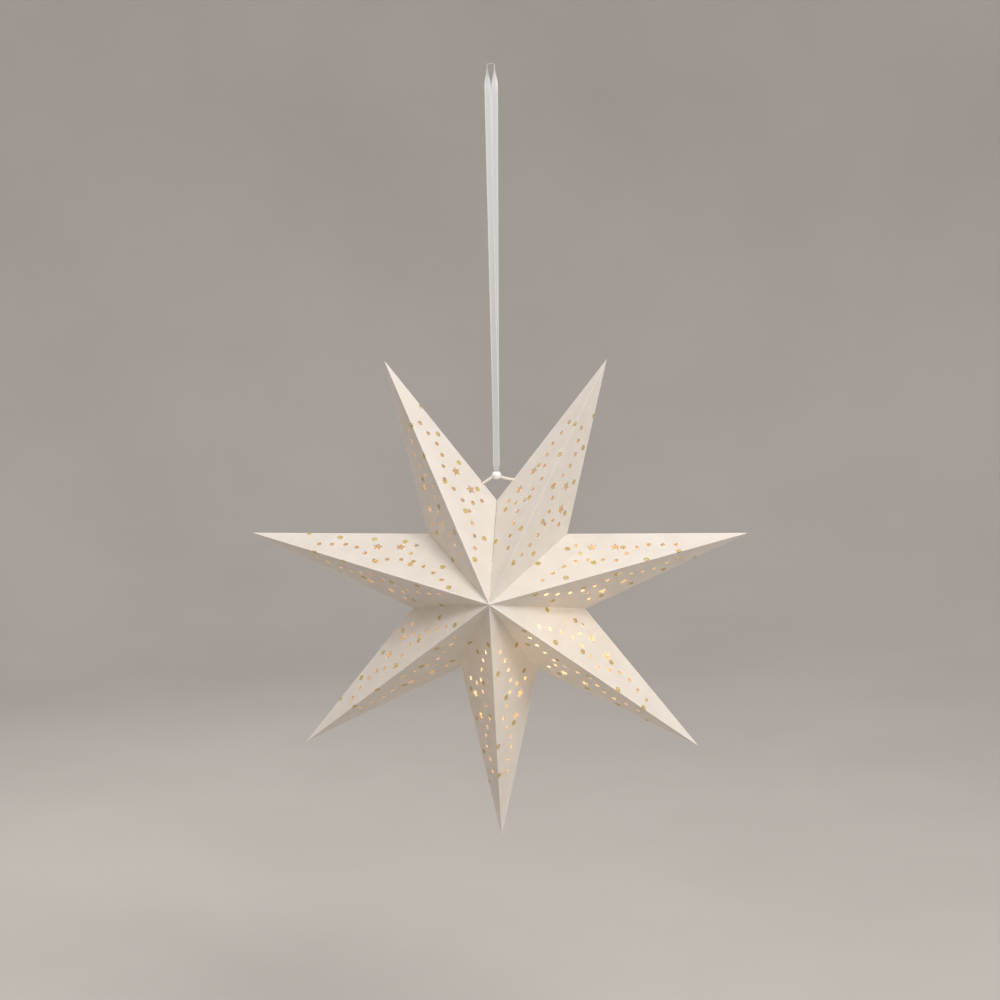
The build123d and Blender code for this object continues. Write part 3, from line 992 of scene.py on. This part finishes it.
# %% Cord tree
cord_radius = 1.75 * mm
cord_plies = 3
cord_pitch = 7 * mm
cord_step = 0.35 * mm
ply_overlap = 1.15
ply_radius = cord_radius / (1 + 2 / math.sqrt(3)) * ply_overlap
ply_sides = 10


def laid_cord_tree():
    tree, start, given = tree_with_inputs("Laid cord", [
        ("Line", "Geometry"),
        ("Plies", "Int"),
        ("Ply Radius", "Float"),
        ("Ply Sides", "Int"),
        ("Lay Radius", "Float"),
        ("Pitch", "Float"),
        ("Step", "Float"),
        ("Material", "Material"),
    ])
    curve = start.add("GeometryNodeMeshToCurve", (), {"Mesh": given["Line"]})
    curve = start.add("GeometryNodeResampleCurve", {"mode": "LENGTH"}, {
        "Curve": curve, "Length": given["Step"],
    })
    run = start.add("GeometryNodeSplineParameter", (), (), "Length")
    curve = start.add(
        "GeometryNodeSetCurveTilt", (), {"Curve": curve, "Tilt": run / given["Pitch"] * math.tau}
    )
    ring = start.add("GeometryNodeCurvePrimitiveCircle", (), {
        "Resolution": given["Plies"], "Radius": given["Lay Radius"],
    })
    ply = start.add("GeometryNodeCurvePrimitiveCircle", (), {
        "Resolution": given["Ply Sides"], "Radius": given["Ply Radius"],
    })
    plies = start.add("GeometryNodeInstanceOnPoints", (), {"Points": ring, "Instance": ply})
    plies = start.add("GeometryNodeRealizeInstances", (), {"Geometry": plies})
    cord = start.add(
        "GeometryNodeCurveToMesh", (), {"Curve": curve, "Profile Curve": plies, "Fill Caps": True}
    )
    finish_tree(start, cord, given["Material"])
    return tree


cord_tree = laid_cord_tree()
print("cord tree:", len(cord_tree.nodes), "nodes")

# %% Cords and their knots
cord_in_bead = 0.6 * mm
cord_below_middle = 1.9 * mm
cord_sag = 1.6 * mm
cord_line_steps = 16
knot_steps = 72
knot_half_depth = 0.8 * mm
knot_ring = 1.2 * mm
knot_swing = 0.45
tie_sides = {"left": (-1, "point_1_front_a"), "right": (1, f"point_{points}_front_b")}


def laid_cord(name, line, body, node):
    """A laid cord along a line, which rides on a body and stands for a node of the frame."""
    drawing = bpy.data.meshes.new(name)
    drawing.from_pydata(line, [(i, i + 1) for i in range(len(line) - 1)], [])
    mesh = made_by(cord_tree, drawing, {
        "Plies": cord_plies,
        "Ply Radius": ply_radius,
        "Ply Sides": ply_sides,
        "Lay Radius": cord_radius - ply_radius,
        "Pitch": cord_pitch,
        "Step": cord_step,
        "Material": cord_material,
    })
    cord = placed(name, closed_and_outward(mesh, smooth=True))
    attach(cord, body)
    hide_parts(node)
    return cord


def trefoil(centre):
    """A closed line that is knotted once, about a centre."""
    places = []
    for turn in (math.tau * step / knot_steps for step in range(knot_steps)):
        ring = knot_ring * (1.0 + knot_swing * math.cos(3 * turn))
        places.append(centre + Vector((
            knot_half_depth * math.sin(3 * turn),
            ring * math.cos(2 * turn),
            ring * math.sin(2 * turn),
        )))
    return places + places[:1]


for label, (way, body) in tie_sides.items():
    knot_low, knot_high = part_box(f"{label}_cord_knot")
    knot = (knot_low + knot_high) / 2
    leaves = bead_centre + Vector((way * (bead_radius - cord_in_bead), 0, -cord_below_middle))
    dips = leaves.lerp(knot, 0.5) - Vector((0, 0, cord_sag))
    route = [tuple(place / mm) for place in (leaves, dips, knot)]
    line = route_points(label, route, cord_line_steps)
    cord = laid_cord(f"{label}_cotton_cord", line, body, f"{label}_tie_cord")
    tied = laid_cord(f"{label}_tied_knot", trefoil(knot), body, f"{label}_cord_knot")
    print(label, "cord has", len(cord.data.polygons), "faces and its knot", len(tied.data.polygons))

# %% [markdown]
# ## The battery light
# A small round light hangs inside by a wire and shines down, out of sight behind the card. Its
# pieces keep their frame shapes. Moulded plastic gets a fine grain, metal a brushed roughness, the
# board a white solder mask, and the diffuser and the four diodes glow in warm white.

# %% Light finishes
lamp_glow = (1.0, 0.66, 0.34)
lamp_glow_pale = (1.0, 0.80, 0.52)
diffuser_strength, diode_strength = 1.3, 6.0
diodes = 4
brass = ((0.66, 0.60, 0.44), (0.80, 0.74, 0.58))
steel = ((0.60, 0.60, 0.60), (0.74, 0.74, 0.74))


def grained(name, low, high, scale, rough, metallic=0.0, glow=None, glow_strength=0.0):
    """A finish of two near colours in a fine grain, which may be metal or glow."""
    material, start = new_finish(name)
    place = start.add("ShaderNodeTexCoord", (), (), "Object")
    grain = spread_noise(start, place, scale, 4.0, 0.6)
    cloud = spread_noise(start, place, scale * 0.12, 2.0, 0.5)
    colour = (grain * 0.5 + cloud * 0.5).smooth(0.35, 0.65).mix((*low, 1), (*high, 1))
    relief = start.add("ShaderNodeBump", (), {"Strength": 0.1, "Distance": 0.0002, "Height": grain})
    inputs = {
        "Base Color": colour,
        "Roughness": grain * 0.18 + rough,
        "Metallic": metallic,
        "Normal": relief,
    }
    if glow is not None:
        inputs["Emission Color"] = cloud.smooth(0.2, 0.8).mix((*glow, 1), (*lamp_glow_pale, 1))
        inputs["Emission Strength"] = glow_strength
    face = start.add("ShaderNodeBsdfPrincipled", (), inputs)
    start.add("ShaderNodeOutputMaterial", (), {"Surface": face})
    return material


# two colours, how fine the grain is, the roughness and, for metal, 1
light_finishes = {
    "light_hanger": grained("hanger_wire", (0.45, 0.44, 0.42), (0.62, 0.61, 0.59), 900.0, 0.25, 1.0),
    "light_cap": grained("cap_plastic", (0.80, 0.80, 0.78), (0.86, 0.86, 0.84), 1800.0, 0.42),
    "light_case": grained("case_plastic", (0.78, 0.78, 0.76), (0.84, 0.84, 0.82), 1800.0, 0.42),
    "switch_slider": grained("switch_plastic", (0.11, 0.11, 0.112), (0.17, 0.17, 0.172), 1800.0, 0.45),
    "spring_contact": grained("spring_brass", *brass, 1200.0, 0.2, 1.0),
    "lower_contact": grained("contact_brass", *brass, 1200.0, 0.2, 1.0),
    "lower_coin_cell": grained("cell_steel", *steel, 1500.0, 0.16, 1.0),
    "upper_coin_cell": grained("upper_cell_steel", *steel, 1500.0, 0.18, 1.0),
    "circuit_board": grained("board_mask", (0.80, 0.81, 0.79), (0.88, 0.89, 0.87), 1300.0, 0.35),
    "board_screws": grained("screw_zinc", (0.48, 0.48, 0.49), (0.66, 0.66, 0.67), 1600.0, 0.24, 1.0),
    "diffuser": grained("diffuser_plastic", (0.90, 0.86, 0.78), (0.95, 0.92, 0.85), 900.0, 0.5,
                        glow=lamp_glow, glow_strength=diffuser_strength),
}
diode_finish = grained("diode_resin", (0.90, 0.80, 0.55), (0.96, 0.88, 0.66), 1400.0, 0.2,
                       glow=lamp_glow, glow_strength=diode_strength)
light_finishes.update({f"led_{i}": diode_finish for i in range(1, diodes + 1)})
for name, finish in light_finishes.items():
    for slot in nodes[name].material_slots:
        slot.material = finish
print("light pieces finished:", len(light_finishes))

# %% [markdown]
# ## Lamp, studio light and stage
# A warm lamp just under the diffuser lights the inside of the card, and the painted lamp light of the
# card's inner faces adds to it, so holes and stars glow. Outside, one large soft box stands to the
# right, above and in front, weak ones stand to the right and behind, and a pale sky fills the
# shadows. The stage is one bowl, a flat floor whose edge curves up all round, so no horizon shows
# behind the star.

# %% Inner lamp
lamp_below_diffuser = 22 * mm
lamp_radius = 18 * mm
lamp_tilt = math.radians(-38)

glow_data = bpy.data.lights.new("inner lamp", "SPOT")
glow_data.energy = 0.80
glow_data.spot_size = math.radians(170)
glow_data.spot_blend = 0.8
glow_data.color = (1.0, 0.67, 0.35)
glow_data.shadow_soft_size = lamp_radius
glow = placed("inner lamp", glow_data)
diffuser_low, diffuser_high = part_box("diffuser")
glow.location = ((diffuser_low.x + diffuser_high.x) / 2, 0, diffuser_low.z - lamp_below_diffuser)
glow.rotation_euler = (0, lamp_tilt, 0)
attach(glow, "light_case")
print("inner lamp:", glow_data.energy, "W at a height of", round(glow.location.z, 3), "m")

# %% Soft boxes and sky
box_distance = 2.4
box_white = (1.0, 0.975, 0.94)
sky_colour = (1.0, 0.945, 0.91, 1)
sky_strength = 0.92


def soft_box(name, way, size, power):
    """A round soft light that faces the star from one side and isn't seen itself."""
    way = Vector(way).normalized()
    data = bpy.data.lights.new(name, "AREA")
    data.shape = "DISK"
    data.size = size
    data.energy = power
    data.color = box_white
    box = placed(name, data)
    box.location = star_centre + way * box_distance
    box.rotation_euler = way.to_track_quat("Z", "Y").to_euler()
    box.visible_camera = False


soft_box("soft box", way=(0.363, -0.631, 0.686), size=0.9, power=29.0)
soft_box("right box", way=(0.98, -0.10, 0.06), size=0.6, power=6.5)
soft_box("back box", way=(-0.55, 0.75, 0.40), size=1.4, power=9.0)

sky = bpy.data.worlds.new("studio sky")
sky.use_nodes = True
sky_inputs = sky.node_tree.nodes["Background"].inputs
sky_inputs["Color"].default_value = sky_colour
sky_inputs["Strength"].default_value = sky_strength
bpy.context.scene.world = sky
bpy.context.scene.view_settings.view_transform = "Standard"
print("lights: three soft boxes", box_distance, "m from the star, and sky")

# %% Stage finish
stage_shade = (0.50, 0.485, 0.465, 1)
stage_pale = (0.53, 0.515, 0.495, 1)


def stage_finish():
    material, start = new_finish("pale_stage")
    place = start.add("ShaderNodeTexCoord", (), (), "Object")
    colour = spread_noise(start, place, 1.5).smooth(0.3, 0.7).mix(stage_shade, stage_pale)
    face = start.add("ShaderNodeBsdfPrincipled", (), {"Base Color": colour, "Roughness": 0.9})
    start.add("ShaderNodeOutputMaterial", (), {"Surface": face})
    return material


stage_material = stage_finish()
print("stage finish:", len(stage_material.node_tree.nodes), "nodes")

# %% Stage
floor_below_star = 0.45
floor_level = cad_low.z - floor_below_star
middle_radius, floor_radius, edge_radius, wall_height = 1.5, 3.2, 1.6, 3.2
stage_sides, edge_steps = 64, 12

stage_profile = [(middle_radius, 0.0), (floor_radius, 0.0)]
stage_profile += [
    (floor_radius + edge_radius * math.sin(turn), edge_radius - edge_radius * math.cos(turn))
    for turn in (math.pi / 2 * step / edge_steps for step in range(1, edge_steps + 1))
]
stage_profile += [(floor_radius + edge_radius, wall_height)]
rows = len(stage_profile)
stage_places, stage_faces = [], []
for step in range(stage_sides):
    turn = math.tau * step / stage_sides
    for radius, height in stage_profile:
        stage_places.append((radius * math.cos(turn), radius * math.sin(turn), floor_level + height))
for step in range(stage_sides):
    here, after = step * rows, (step + 1) % stage_sides * rows
    stage_faces += [(here + i, after + i, after + i + 1, here + i + 1) for i in range(rows - 1)]
stage_faces.append(tuple(step * rows for step in reversed(range(stage_sides))))
stage_mesh = bpy.data.meshes.new("stage")
stage_mesh.from_pydata(stage_places, [], stage_faces)
stage_mesh.materials.append(stage_material)
stage_mesh.polygons.foreach_set("use_smooth", [True] * len(stage_mesh.polygons))
stage = placed("stage", stage_mesh)
print("stage: floor at", round(floor_level, 3))
